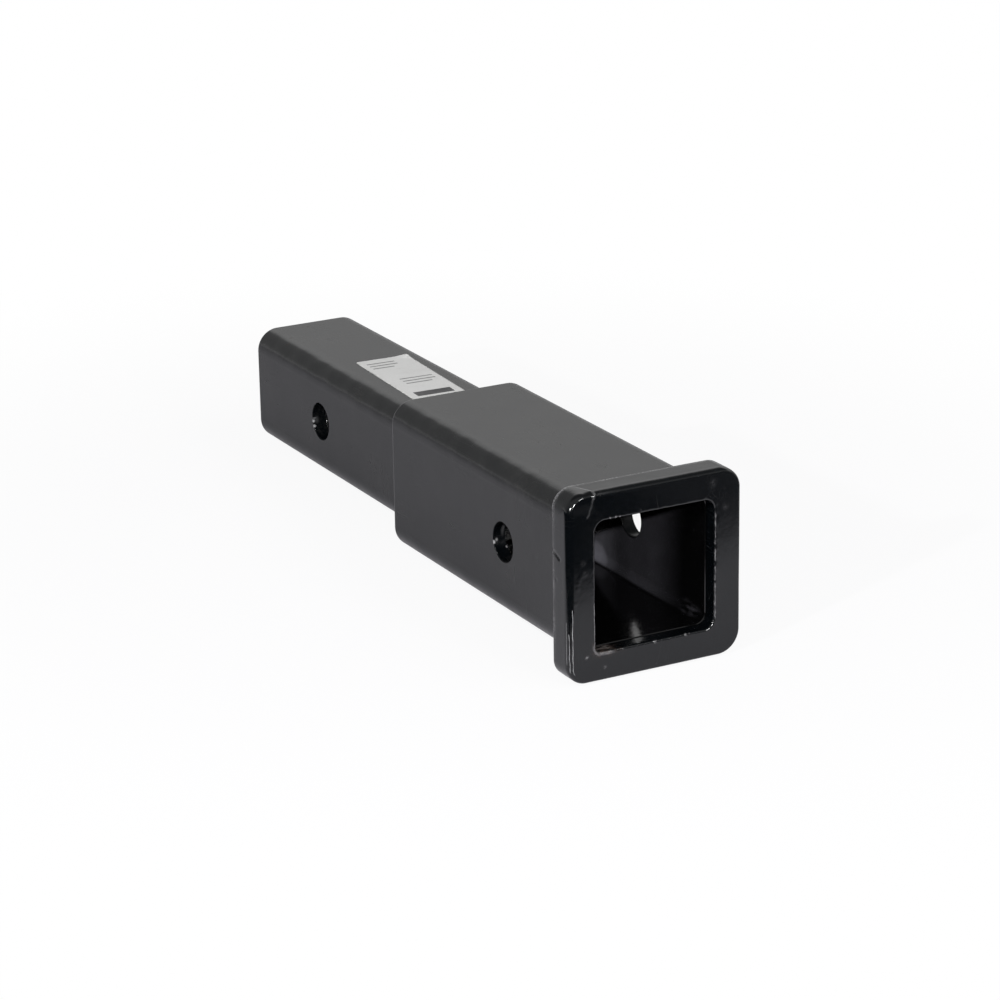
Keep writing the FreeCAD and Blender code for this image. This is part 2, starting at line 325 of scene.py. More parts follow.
class Surface(Nodes):
    """A procedural material that is laid out in the part's own millimetres."""

    def __init__(self, name):
        self.material = bpy.data.materials.new(name)
        self.material.use_nodes = True
        super().__init__(self.material.node_tree)
        metres = self.add("TexCoord").outputs["Object"]
        self.place = self.vector("MULTIPLY", metres, (1 / MM, 1 / MM, 1 / MM))
        parts = self.add("SeparateXYZ", {0: self.place})
        self.x, self.y, self.z = parts.outputs

    def noise(self, size, detail=2.0, stretch=(1, 1, 1)):
        """Smooth noise about 0.5 with features of a size in millimetres, longer where stretched."""
        scale = tuple(1 / (size * share) for share in stretch)
        place = self.vector("MULTIPLY", self.place, scale)
        return self.add("TexNoise", {"Vector": place, "Scale": 1.0, "Detail": detail}).outputs[0]

    def patches(self, size, low, high, detail=3.0, stretch=(1, 1, 1)):
        """Cloudy patches from 0 to 1: noise under low is 0 and over high is 1."""
        return self.ramp(self.noise(size, detail, stretch), low, high)

    def wander(self, size, detail, width, stretch=(1, 1, 1)):
        """Noise about 0, to move an edge by."""
        off = self.minus(self.noise(size, detail, stretch), NOISE_MIDDLE)
        return self.product(off, width)

    def specks(self, spacing, radius, share):
        """Round nibs at random, in a share of cells of a spacing in millimetres."""
        cells = self.add("TexVoronoi", {"Vector": self.place, "Scale": 1 / spacing})
        chosen = self.ramp(cells.outputs["Color"], 1 - share, 1 - share + 0.01)
        return self.product(chosen, self.ramp(cells.outputs["Distance"], radius / spacing, 0.0))

    def lines(self, size, stretch, width):
        """Thin wandering lines, where stretched noise crosses its middle."""
        return self.band(self.noise(size, 1.0, stretch), NOISE_MIDDLE, width)

    def near(self, centre, reach):
        """1 at a point, falling to 0 over a reach in millimetres, which may differ by axis."""
        off = self.vector("SUBTRACT", self.place, centre)
        off = self.vector("DIVIDE", off, reach)
        return self.ramp(self.vector("LENGTH", off), 1.0, 0.0)

    def stroke(self, start, end, half_width):
        """1 on a straight line between two points, falling to 0 over a half width."""
        way = Vector(end) - Vector(start)
        off = self.vector("SUBTRACT", self.place, start)
        along = self.vector("DOT_PRODUCT", off, tuple(way))
        along = self.maths("DIVIDE", along, way.length_squared)
        share = self.ramp(along, 0, 1, kind="LINEAR")
        share = self.add("CombineXYZ", {0: share, 1: share, 2: share}).outputs[0]
        nearest = self.vector("MULTIPLY", share, tuple(way))
        return self.ramp(self.vector("DISTANCE", off, nearest), half_width, 0.0)

    def shade(self, colour, roughness, relief, specular=PLAIN_SPECULAR):
        """Ends the tree with a dielectric coat of a colour, a roughness and a relief."""
        bump = self.add("Bump", {"Height": relief, "Distance": MM, "Strength": 1.0})
        coat = {"Base Color": colour, "Roughness": roughness, "IOR": COAT_IOR,
                "Specular IOR Level": specular, "Normal": bump.outputs[0]}
        shader = self.add("BsdfPrincipled", coat)
        self.add("OutputMaterial", {"Surface": shader.outputs[0]})
        return self.material


def powder_coat(surface, gloss, peel, dustiness=1.0):
    """The coat that all the steel has: near black, with orange peel, nibs, scratches and dust."""
    dust = surface.product(
        surface.patches(22, 0.42, 0.75), surface.patches(1.6, 0.3, 0.8), 0.6 * dustiness)
    nibs = surface.specks(spacing=9, radius=0.45, share=0.35)
    scratches = surface.product(
        surface.lines(3, (1, 14, 1), 0.006), surface.patches(17, 0.55, 0.66))
    scuffs = surface.product(surface.lines(5, (1, 1, 9), 0.004), surface.patches(23, 0.56, 0.66))
    fine = surface.larger(scratches, scuffs)
    colour = surface.mix(dust, BLACK, DUSTY)
    colour = surface.mix(surface.product(fine, 0.35), colour, DUSTY)

    # Smears and grain vary the roughness about the gloss that is asked for.
    smear_share, grain_share, scratch_share = 0.10, 0.04, 0.18
    smears = surface.product(surface.noise(15, 3.0), smear_share)
    grain = surface.product(surface.noise(1.2, 2.0), grain_share)
    even = gloss - NOISE_MIDDLE * (smear_share + grain_share)
    roughness = surface.total(smears, grain, surface.product(fine, scratch_share), even)

    # Orange peel, as the size of its waves and their height.
    peel_waves = ((2.6, 0.020), (0.9, 0.003), (21, 0.10))
    waves = [surface.product(surface.noise(size, 1.0), height * peel)
             for size, height in peel_waves]
    nib_height, scratch_depth = 0.05, 0.004
    relief = surface.total(
        *waves, surface.product(nibs, nib_height), surface.product(fine, -scratch_depth))
    return colour, roughness, relief


def make_tube_coat(name, high, wall, hole_y, inside, inside_gloss, inside_specular, painted_glints):
    """The coat of one square tube: thin in the hollow, pooled in the bores, worn at the back, with
    painted glints in the bores.
    """
    surface = Surface(name)
    colour, roughness, relief = powder_coat(surface, gloss=0.235, peel=1.0)

    # Where the bores, the hollow and the worn back end are.
    off_axis = surface.vector("SUBTRACT", surface.place, (0, hole_y, 0))
    off_axis = surface.vector("LENGTH", surface.vector("MULTIPLY", off_axis, (0, 1, 1)))
    bore = surface.ramp(off_axis, HOLE_RADIUS + 0.5, HOLE_RADIUS + 0.2)
    across = surface.larger(surface.absolute(surface.x), surface.absolute(surface.z))
    inner = high.x - wall
    hollow = surface.product(
        surface.ramp(across, inner + 1.2, inner + 0.4), surface.minus(1, bore))
    back_end = surface.ramp(surface.y, high.y - 0.9, high.y - 0.4)
    thin = surface.product(back_end, surface.ramp(surface.noise(3, 2.0), 0.3, 0.6, 0.35, 0.75))

    colour = surface.mix(thin, colour, WORN_AND_GLINT)
    colour = surface.mix(hollow, colour, inside(surface))
    # Painted highlights: the bores' glints are painted pale into the colour.
    painted_glint = surface.total(
        *[surface.product(surface.near(centre, reach), strength)
          for centre, reach, strength in painted_glints])
    colour = surface.mix(surface.product(bore, painted_glint), colour, PAINTED_HIGHLIGHT)

    cloud_share = 0.1
    clouds = surface.product(surface.noise(5, 3.0), cloud_share)
    inside_roughness = surface.total(clouds, inside_gloss - NOISE_MIDDLE * cloud_share)
    roughness = surface.blend(hollow, roughness, inside_roughness)
    bore_specular = 0.15
    specular = surface.blend(
        bore, surface.blend(hollow, PLAIN_SPECULAR, inside_specular), bore_specular)

    # Paint pooled in the bores, a rough hollow, and the rolled corners' ripple.
    pool_height, hollow_height, ripple_height = 0.05, 0.02, 0.40
    pooled = surface.product(bore, surface.noise(2.5, 1.0), pool_height)
    inside_relief = surface.product(hollow, surface.noise(4, 3.0), hollow_height)
    corner_x, corner_z = (
        surface.ramp(surface.absolute(value), high.x - 11, high.x - 5)
        for value in (surface.x, surface.z))
    ripple = surface.product(
        corner_x, corner_z, surface.noise(12, 1.0, (1, 1.3, 1)), ripple_height)
    relief = surface.total(relief, pooled, inside_relief, ripple)
    return surface, colour, roughness, relief, specular


def make_receiver_coat():
    """The receiver tube's coat: black near the mouth, its inside side walls paler the deeper they
    go, and black above the lip's painted shadow line.
    """

    # How much paleness each stretch along the tube adds to the inside side walls: from, to and
    # amount.
    paleness_stretches = ((-222, -190, 0.40), (-186, -172, -0.10), (-170, -160, 0.45),
                      (-160, -154, 0.25))
    corner_centre, corner_reach, corner_strength = (26.2, -224, -24), (5, 10, 5), 0.26
    painted_shadow_slope = 0.46

    def inside(surface):
        # The inside side walls are made paler the deeper they go, with cloudy unevenness; the floor
        # stays black.
        side = surface.ramp(surface.absolute(surface.x), 23.2, 24.8)
        depth = surface.total(
            *[surface.ramp(surface.y, start, end, 0, amount)
              for start, end, amount in paleness_stretches])
        low_corner = surface.product(
            surface.near(corner_centre, corner_reach),
            surface.patches(2, 0.35, 0.65, 2.0, (1, 3, 1)), corner_strength)
        # Above a line falling from the mouth's top lip the side walls stay black: a painted shadow
        # of the lip.
        from_mouth = surface.minus(surface.y, RECEIVER_LOW.y)
        under_top = surface.total(surface.z, surface.product(from_mouth, painted_shadow_slope))
        below_painted_shadow = surface.ramp(under_top, 25.0, 23.0)
        clouds = surface.ramp(surface.noise(11, 3.0), 0.2, 0.8, 0.8, 1.15)
        dust = surface.product(side, surface.total(depth, low_corner), below_painted_shadow, clouds)
        return surface.mix(dust, SOCKET_BLACK, INSIDE_WALL_GREY)

    surface, colour, roughness, relief, specular = make_tube_coat(
        "receiver_coat", RECEIVER_HIGH, TUBE_WALL, RECEIVER_HOLE_Y, inside,
        inside_gloss=0.12, inside_specular=0.5, painted_glints=RECEIVER_GLINTS)
    return surface.shade(colour, roughness, relief, specular)


def make_shank_coat():
    """The shank's coat: hardly any reached its hollow, and its top has a few rusty rub marks."""

    def inside(surface):
        return surface.mix(surface.patches(6, 0.3, 0.7), HOLLOW_BLACK, HOLLOW_DUST)

    surface, colour, roughness, relief, specular = make_tube_coat(
        "shank_coat", SHANK_HIGH, SHANK_WALL, SHANK_HOLE_Y, inside,
        inside_gloss=0.6, inside_specular=0.12, painted_glints=SHANK_GLINTS)
    rust_share, dulled_specular = 0.5, 0.45
    for centre, reach in SHANK_MARKS:
        mark = surface.product(surface.near(centre, reach), surface.patches(1.3, 0.4, 0.6))
        colour = surface.mix(surface.product(mark, rust_share), colour, RUST)
        dulling = surface.ramp(mark, 0, 1, 1.0, dulled_specular)
        specular = surface.product(specular, dulling)
    return surface.shade(colour, roughness, relief, specular)


def make_collar_coat():
    """The collar's glossier, thicker coat. Its mesh says where it is worn or rusty and where glints
    are painted.
    """
    surface = Surface("collar_coat")
    colour, roughness, relief = powder_coat(surface, gloss=0.135, peel=1.3, dustiness=0.3)

    def ring(corner_middle):
        """Distance from the axis, measured square to a square with rounded corners."""
        over_x, over_z = (
            surface.larger(surface.minus(surface.absolute(value), corner_middle), 0)
            for value in (surface.x, surface.z))
        over = surface.add("CombineXYZ", {0: over_x, 1: over_z})
        return surface.total(surface.vector("LENGTH", over.outputs[0]), corner_middle)

    # Painted highlights: pale lines along the pooled paint, the sag and the top front edge beside
    # it.
    outer = ring(COLLAR_HIGH.x - COLLAR_CORNERS[LOWER_LEFT])
    sagged = surface.total(outer, surface.wander(7, 1.0, 0.7, ALONG_Z_ONLY))
    on_left = surface.product(
        surface.ramp(surface.x, -27, -29), surface.ramp(surface.y, -236.5, -237.5))
    painted_gleam = 0.0
    for place, half_width, low, high, strength, wanders in POOLED_HIGHLIGHT_LINES:
        line = surface.band(sagged if wanders else outer, place, half_width)
        line = surface.product(line, surface.between(surface.z, low, high), strength)
        painted_gleam = surface.larger(painted_gleam, line)
    uneven = surface.ramp(surface.noise(4, 2.0), 0.25, 0.55, 0.45, 1.0)
    painted_gleam = surface.product(painted_gleam, on_left, uneven)
    strokes = [(start, end, 0.8, strength)
               for start, end, strength in zip(SAG_PATH, SAG_PATH[1:], SAG_PALENESS)]
    strokes.append((*TOP_GLEAM, 0.7, 0.09))
    for start, end, half_width, strength in strokes:
        stroke = surface.product(surface.stroke(start, end, half_width), strength)
        painted_gleam = surface.larger(painted_gleam, stroke)
    shade_line = surface.product(
        surface.band(sagged, 36.85, 0.22), surface.between(surface.z, -33.0, -12.0), on_left, 0.8)

    # The mouth's frayed edge: bare on the right and worn down the left, both painted pale partly as
    # a painted highlight, and dirty at its foot.
    low_left = surface.product(surface.ramp(surface.x, 1, -1), surface.ramp(surface.z, 1, -1))
    mouth = ring(surface.blend(
        low_left, MOUTH_HALF - MOUTH_CORNERS[UPPER_RIGHT], MOUTH_HALF - MOUTH_CORNERS[LOWER_LEFT]))
    frayed = surface.total(mouth, surface.wander(1.3, 2.0, 0.7))
    at_front = surface.ramp(surface.y, -240.2, -240.7)
    cut = surface.product(surface.band(frayed, MOUTH_HALF + 0.55, 0.35), at_front)
    right_side = surface.product(
        surface.ramp(surface.x, 20, 24), surface.between(surface.z, -24, 22, 3))
    left_side = surface.product(
        surface.ramp(surface.x, -20, -24), surface.between(surface.z, -25, -5, 2))
    foot = surface.product(
        surface.ramp(surface.z, -22, -25), surface.ramp(surface.x, -16.8, -20.5))
    worn_and_glinting_edge = surface.total(
        surface.product(right_side, surface.ramp(surface.noise(2.2, 2.0), 0.35, 0.65, 0.0, 0.8)),
        surface.product(left_side, surface.ramp(surface.noise(2.8, 2.0), 0.25, 0.5, 0.3, 1.0)),
        0.04)
    streaks = surface.total(
        surface.band(surface.y, -235.3, 0.7), surface.patches(1.5, 0.45, 0.65, 2.0, (4, 1, 1)))
    lip_dirt = surface.product(
        foot, surface.ramp(mouth, MOUTH_HALF + 0.5, MOUTH_HALF + 0.2), streaks)
    foot_dirt = surface.product(
        foot, at_front, surface.band(frayed, MOUTH_HALF + 0.9, 0.9),
        surface.ramp(surface.noise(1.6, 2.0), 0.2, 0.5, 0.2, 0.6))

    # What the mesh says is worn, rusty or a painted glint shows in small patches.
    wear_and_glints, rust = (
        surface.add("Attribute", attribute_name=name).outputs["Fac"] for name in ("wear_and_glints", "rust"))
    broken = surface.total(surface.patches(0.7, 0.40, 0.60), 0.35)
    bare_and_glint = surface.maths("MINIMUM", surface.product(wear_and_glints, broken), 1.0)
    bare_and_glint = surface.larger(bare_and_glint, surface.product(cut, worn_and_glinting_edge))
    rusty = surface.product(rust, surface.patches(1.8, 0.35, 0.65))
    for share, tint in ((rusty, RUST), (bare_and_glint, WORN_AND_GLINT), (lip_dirt, LIP_DIRT), (foot_dirt, FOOT_DIRT),
                        (painted_gleam, PAINTED_HIGHLIGHT)):
        colour = surface.mix(share, colour, tint)

    dull_corner = surface.near((-35.5, -233.5, 32.0), (6, 6, 6))
    rougher = ((bare_and_glint, 0.15), (rust, 0.2), (shade_line, 0.3), (dull_corner, 0.35))
    roughness = surface.total(
        roughness, *[surface.product(share, amount) for share, amount in rougher])
    gleam_height, shade_depth = 0.05, 0.10
    relief = surface.total(
        relief, surface.product(painted_gleam, gleam_height), surface.product(shade_line, -shade_depth))
    return surface.shade(colour, roughness, relief)


def make_weld_coat():
    """The coat over the weld beads and the burrs, a little glossier than the tubes'."""
    surface = Surface("weld_coat")
    colour, roughness, relief = powder_coat(surface, gloss=0.20, peel=0.8)
    return surface.shade(colour, roughness, relief)


def make_label_paper():
    """A white sticker with generic print: a dark bar and thin grey rules, a little soiled."""
    surface = Surface("label_paper")
    off = surface.vector("SUBTRACT", surface.place, (*LABEL_CENTRE, 0))
    turned = surface.add("VectorRotate", {"Vector": off, "Angle": math.radians(-LABEL_TURN)})
    across, along, _ = surface.add("SeparateXYZ", {0: turned.outputs[0]}).outputs
    print_blur, edge_width = 0.06, 0.6

    def bar(middle, size):
        """1 inside a rectangle on the sticker."""
        sides = []
        for value, place, length in zip((across, along), middle, size):
            gap = surface.absolute(surface.minus(value, place))
            sides.append(surface.ramp(gap, length / 2 + print_blur, length / 2 - print_blur))
        return surface.product(*sides)

    paper = surface.mix(surface.patches(0.5, 0.3, 0.8), PAPER, PAPER_FIBRE)
    soil = surface.product(surface.patches(9, 0.45, 0.8), surface.patches(1.0, 0.3, 0.7), 0.28)
    colour = surface.mix(soil, paper, SOIL)
    ink = surface.ramp(surface.noise(0.6, 2.0), 0.2, 0.35, 0.75, 1.0)
    for middle, length in RULES:
        rule = surface.product(bar(middle, (length, RULE_WIDTH)), ink, 0.8)
        colour = surface.mix(rule, colour, RULE_INK)
    colour = surface.mix(surface.product(bar(BAR_MIDDLE, BAR_SIZE), ink), colour, BAR_INK)
    edge_x, edge_y = (
        surface.ramp(surface.absolute(value), length / 2 - edge_width, length / 2)
        for value, length in zip((across, along), LABEL_SIZE))
    grime = surface.product(surface.larger(edge_x, edge_y), surface.patches(2.5, 0.3, 0.7), 0.5)
    colour = surface.mix(grime, colour, GRIME)
    roughness = surface.ramp(surface.noise(6, 3.0), 0.2, 0.8, 0.36, 0.5)
    relief = surface.total(
        surface.product(surface.noise(0.35, 2.0), 0.004),
        surface.product(surface.noise(7, 1.0), 0.05))
    return surface.shade(colour, roughness, relief)


def square_ring(half, corners, side_steps, corner_steps):
    """Points (x, z) around a square with one corner radius, or four from the upper right on."""
    corners = np.broadcast_to(corners, 4)
    turns = []
    for k, (cos, sin) in enumerate(((1, 0), (0, 1), (-1, 0), (0, -1))):
        start, end = half - corners[k - 1], half - corners[k]
        quarter = [(half, (start + end) * i / side_steps - start) for i in range(side_steps)]
        for i in range(corner_steps):
            angle = RIGHT_ANGLE * i / corner_steps
            quarter.append(
                (end + corners[k] * math.cos(angle), end + corners[k] * math.sin(angle)))
        turns.append(np.array(quarter) @ np.array([[cos, sin], [-sin, cos]]))
    return np.concatenate(turns)


def ring_row(ring, y, outward=0, out=0):
    """A row of mesh points: a ring (x, z), moved outward, at one y or one for each point."""
    x, z = (ring + outward * np.reshape(out, (-1, 1))).T
    return np.column_stack([x, np.broadcast_to(y, len(ring)), z])


def loft(rows, side_steps, corner_steps):
    """A grid of points: one rounded square for each (half, corners, y)."""
    rings = [(square_ring(half, corners, side_steps, corner_steps), y)
             for half, corners, y in rows]
    return np.array([ring_row(ring, y) for ring, y in rings])


def grid_normals(grid):
    """Unit normals of a grid that closes both ways."""
    along = np.roll(grid, -1, 1) - np.roll(grid, 1, 1)
    across = np.roll(grid, -1, 0) - np.roll(grid, 1, 0)
    normal = np.cross(along, across)
    return normal / np.maximum(np.linalg.norm(normal, axis=2, keepdims=True), TINY)


def noise_at(points, size, shift=0.0):
    """Smooth noise from about -1 to 1 at each point, with features of a size in millimetres."""
    flat = points.reshape(-1, 3) / size + shift
    return np.array([noise.noise(Vector(p)) for p in flat]).reshape(points.shape[:-1])


def smooth(value, low, high):
    """Smooth step of an array from 0 at low to 1 at high."""
    share = np.clip((value - low) / (high - low), 0, 1)
    return share * share * (3 - 2 * share)


def bell(value, width):
    """A soft bump over an array: 1 at 0, and nearly 0 beyond two widths."""
    return np.exp(-(value / width) ** 2)


def spot(points, centre, radius):
    """A soft round mark: 1 at its centre."""
    return bell(np.linalg.norm(points - np.array(centre), axis=-1), radius)


def distance_to_path(points, path):
    """Shortest distance from each point to a run of straight stretches."""
    best = np.full(points.shape[:-1], np.inf)
    for start, end in zip(path[:-1], path[1:]):
        start, way = np.array(start), np.array(end) - np.array(start)
        share = np.clip(((points - start) @ way) / (way @ way), 0, 1)
        off = points - start - share[..., None] * way
        best = np.minimum(best, np.linalg.norm(off, axis=-1))
    return best


def add_piece(name, vertices, faces, material, nodes):
    """A finished mesh piece that rides on the body and stands for CAD nodes, if it has any."""
    mesh = bpy.data.meshes.new(name)
    mesh.from_pydata([tuple(v) for v in vertices * MM], [], faces)
    mesh.validate()
    mesh.materials.append(material)
    mesh.polygons.foreach_set("use_smooth", [True] * len(mesh.polygons))
    piece = bpy.data.objects.new(name, mesh)
    bpy.context.scene.collection.objects.link(piece)
    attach(piece, "root")
    if nodes:
        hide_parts(*nodes)
    return piece


def closed_grid_faces(rows, columns):
    """Quads of a grid that closes both ways."""
    faces = []
    for i in range(rows):
        row, next_row = i * columns, (i + 1) % rows * columns
        for j in range(columns):
            k = (j + 1) % columns
            faces.append((row + j, row + k, next_row + k, next_row + j))
    return faces


def shares(count):
    """A number of even steps up to 1, without the 0 that they start from."""
    return np.linspace(0, 1, count + 1)[1:]


def collar_rows(front_edge, front_depth):
    """The collar's section as (half, corners, y), from the mouth's inner end round to its seat."""
    front, back, half = COLLAR_LOW.y, COLLAR_HIGH.y, COLLAR_HIGH.x
    seat_end = front + LIP
    seat_half = RECEIVER_HIGH.x + COLLAR_SEAT_GAP
    bore_rows, face_rows, side_rows, back_rows = 10, 24, 16, 5
    mouth_edge_rows, front_edge_rows, back_edge_rows = 6, 18, 8

    rows = [(MOUTH_HALF, MOUTH_CORNERS, y)
            for y in np.linspace(seat_end, front + MOUTH_EDGE, bore_rows)]
    for angle in RIGHT_ANGLE * shares(mouth_edge_rows):
        out = MOUTH_EDGE * (1 - math.cos(angle))
        y = front + MOUTH_EDGE * (1 - math.sin(angle))
        rows.append((MOUTH_HALF + out, MOUTH_CORNERS + out, y))
    start, start_corners = MOUTH_HALF + MOUTH_EDGE, MOUTH_CORNERS + MOUTH_EDGE
    end, end_corners = half - front_edge, COLLAR_CORNERS - front_edge
    for share in shares(face_rows):
        corners = start_corners + share * (end_corners - start_corners)
        rows.append((start + share * (end - start), corners, front))
    for angle in RIGHT_ANGLE * shares(front_edge_rows):
        inset = front_edge * (1 - math.sin(angle))
        y = front + front_depth * (1 - math.cos(angle))
        rows.append((half - inset, COLLAR_CORNERS - inset, y))
    for share in shares(side_rows):
        y = front + front_depth + share * (back - COLLAR_BACK_EDGE - front - front_depth)
        fall = COLLAR_BACK_FALL * max(0, 2 * share - 1) ** 2
        rows.append((half - fall, COLLAR_CORNERS, y))
    for angle in RIGHT_ANGLE * shares(back_edge_rows):
        fall_left = COLLAR_BACK_EDGE - COLLAR_BACK_FALL
        inset = COLLAR_BACK_FALL + fall_left * (1 - math.cos(angle))
        y = back - COLLAR_BACK_EDGE * (1 - math.sin(angle))
        rows.append((half - inset, COLLAR_CORNERS - inset, y))
    start, start_corners = half - COLLAR_BACK_EDGE, COLLAR_CORNERS - COLLAR_BACK_EDGE
    for share in shares(back_rows):
        corners = start_corners + share * (TUBE_CORNER - start_corners)
        rows.append((start + share * (seat_half - start), corners, back))
    rows += [(seat_half, TUBE_CORNER, y) for y in (back - LIP / 2, seat_end)]
    rows.append(((seat_half + MOUTH_HALF) / 2, (TUBE_CORNER + MOUTH_CORNERS) / 2, seat_end))
    return rows


def make_collar(material):
    """The collar as cut and painted: a little wavy, with sags, nibs, a chip and a rough mouth.

    Its front edge is ground wide on the top and the left, and nearly sharp on the other sides.
    """
    side_steps, corner_steps = 140, 28
    left, top, sharp = (loft(collar_rows(*edge), side_steps, corner_steps)
                        for edge in (COLLAR_LEFT_EDGE, COLLAR_TOP_EDGE, COLLAR_SHARP_EDGE))
    out_x, out_z = square_ring(COLLAR_HIGH.x, COLLAR_CORNERS, side_steps, corner_steps).T
    ground = top + smooth(-out_x - out_z, -8, 8)[:, None] * (left - top)
    grid = sharp + smooth(out_z - out_x, -8, 12)[:, None] * (ground - sharp)
    normal = grid_normals(grid)
    face_row = 24
    if normal[face_row, 0, 1] > 0:
        normal = -normal
    front = COLLAR_LOW.y
    x, y, z = np.moveaxis(grid, 2, 0)
    off_axis = np.maximum(np.abs(x), np.abs(z))
    wear_and_glints = np.zeros(x.shape)

    # The paint is laid a little under the CAD surface. It is wavy, and rough at the mouth's lip.
    paint_sink = 0.03
    waves = 0.050 * noise_at(grid, 17) + 0.020 * noise_at(grid, 6, 3.7)
    to_mouth = off_axis - MOUTH_HALF
    lip = bell(to_mouth - 0.3, 0.9) * bell(y - front, 1.6)
    rough = lip * (0.10 * noise_at(grid, 2.6, 1.3) + 0.05 * noise_at(grid, 1.1, 8.1))
    push = waves - paint_sink + rough

    # The sag runs forward over the top and down the front, with a dent on its left.
    sag_height, dent_depth, ridge_height = 0.16, 0.24, 0.08
    push += sag_height * bell(distance_to_path(grid, SAG_PATH), 0.55)
    sag_x = -25.8 - 0.50 * (y + 238.5)
    push -= dent_depth * smooth(sag_x - x, 0, 4.5) * smooth(-y, 229, 239) * smooth(z, 29, 35)
    for path in POOLED_RIDGES:
        push += ridge_height * bell(distance_to_path(grid, path), 0.45)

    for nib_x, nib_z, radius, height, bareness in NIBS:
        nib = spot(grid, (nib_x, front, nib_z), radius)
        push += height * nib
        wear_and_glints = np.maximum(wear_and_glints, bareness * nib)
    # Each burr's tip is painted pale through the wear attribute: a painted glint.
    burr_height, burr_glint = 0.15, 1.6
    for burr_x, burr_z, radius in MOUTH_BURRS:
        burr = spot(grid, (burr_x, front + 0.2, burr_z), radius)
        push += burr_height * burr
        wear_and_glints = np.maximum(wear_and_glints, burr_glint * burr)

    # The back edge is thinly coated all round and painted pale, partly as a painted highlight, most
    # of all along the top.
    top_share = np.clip((z - 30) / 6, 0, 1)
    rim_line = bell(y - (COLLAR_HIGH.y - 0.8), 1.2 - 0.3 * top_share) * (off_axis > 35)
    uneven = np.clip(0.8 + 0.6 * noise_at(grid, 9, 3.3), 0, 1.3)
    wear_and_glints = np.maximum(wear_and_glints, rim_line * uneven * (0.38 + 0.80 * top_share))

    chip_depth, chip_wear, nick_depth = 0.42, 0.25, 0.25
    push -= chip_depth * bell(distance_to_path(grid, CHIP), 0.55)
    wear_and_glints = np.maximum(wear_and_glints, chip_wear * bell(distance_to_path(grid, CHIP_RIM), 0.4))
    push -= nick_depth * spot(grid, NICK, 0.6)
    rust = 0.9 * spot(grid, (-22.5, front + 1.5, -25.6), 5.5) * bell(to_mouth, 2.0)

    # The mouth's inner end and the seat on the tube stay as cut, and all stays in the CAD box.
    push[[0, -4, -3, -2, -1]] = 0
    grid = np.clip(grid + normal * push[..., None], COLLAR_LOW, COLLAR_HIGH)
    faces = closed_grid_faces(*grid.shape[:2])
    piece = add_piece(
        "collar", grid.reshape(-1, 3), faces, material, ["mouth_collar"])
    for name, values in (("wear_and_glints", wear_and_glints), ("rust", rust)):
        layer = piece.data.attributes.new(name, "FLOAT", "POINT")
        layer.data.foreach_set("value", values.reshape(-1).astype(np.float32))
    return piece


def make_bead(name, node, half, low, high, material, seed):
    """A hand-laid fillet weld around a tube, with stacked ripples and wandering toes."""
    leg = high.y - low.y
    crown = 0.19 * leg
    pitch, bow, ripple_height, ripple_sharpness = 1.9, 1.5, 0.17, 0.7
    rough_height, rough_size = 0.06, 2.2
    sunk = 0.15
    side_steps, corner_steps, section_steps = 150, 34, 14
    ring = square_ring(half, TUBE_CORNER, side_steps, corner_steps)
    outward = square_ring(half + 1, TUBE_CORNER + 1, side_steps, corner_steps) - ring
    length = np.cumsum(np.linalg.norm(np.roll(ring, -1, 0) - ring, axis=1))
    length = length * round(length[-1] / pitch) * pitch / length[-1]
    place = ring_row(ring, 0.0)
    toe_out, toe_along = (0.96 + 0.06 * noise_at(place, 7, seed + shift) for shift in (0, 5))
    rows = []
    for i in range(section_steps + 1):
        angle = RIGHT_ANGLE * i / section_steps
        bulge = math.sin(2 * angle)
        reach = leg / (math.sin(angle) + math.cos(angle)) + crown * bulge
        wave = np.abs(np.sin(math.pi * (length - bow * bulge) / pitch)) ** ripple_sharpness
        reach = reach + ripple_height * bulge * (wave - 1)
        reach = reach + rough_height * noise_at(place, rough_size, seed + i * 0.2)
        out = reach * math.sin(angle) * toe_out
        along = reach * math.cos(angle) * toe_along
        rows.append(ring_row(ring, low.y + along, outward, out))
    for out, along in ((leg - sunk, -sunk), (-sunk, -sunk), (-sunk, leg - sunk)):
        rows.append(ring_row(ring, low.y + along, outward, out))
    grid = np.array(rows)
    faces = closed_grid_faces(*grid.shape[:2])
    return add_piece(name, grid.reshape(-1, 3), faces, material, [node])


def make_burrs(material):
    """The low burr around the inner rim of each of the shank's pin holes."""
    around_steps, section_steps = 96, 12
    height, thickness, unevenness = 1.3, 0.9, 0.12
    rim_gap, sunk, noise_radius = 0.05, 0.1, 3.0
    wall_face = SHANK_HIGH.x - SHANK_WALL
    around = np.linspace(0, FULL_TURN, around_steps, endpoint=False)
    circle = np.column_stack([np.cos(around), np.sin(around)])
    grids = []
    for side in (-1, 1):
        sideways = np.full((around_steps, 1), side)
        place = noise_radius * np.hstack([sideways, circle])
        rise = height * (1 + unevenness * noise_at(place, 1.1, side * 7.0))
        rows = []
        for i in range(section_steps):
            turn = FULL_TURN * i / section_steps
            radius = HOLE_RADIUS + rim_gap + thickness / 2 * (1 - math.cos(turn))
            out = wall_face + sunk - rise * (0.5 + 0.5 * math.sin(turn))
            y, z = radius * circle.T
            rows.append(np.column_stack([side * out, SHANK_HOLE_Y + y, z]))
        rows = np.array(rows)
        grids.append(rows if side > 0 else rows[:, ::-1])
    faces = closed_grid_faces(section_steps, around_steps)
    count = section_steps * around_steps
    faces += [tuple(count + k for k in face) for face in faces]
    vertices = np.concatenate([grid.reshape(-1, 3) for grid in grids])
    return add_piece("shank_hole_burrs", vertices, faces, material, [])


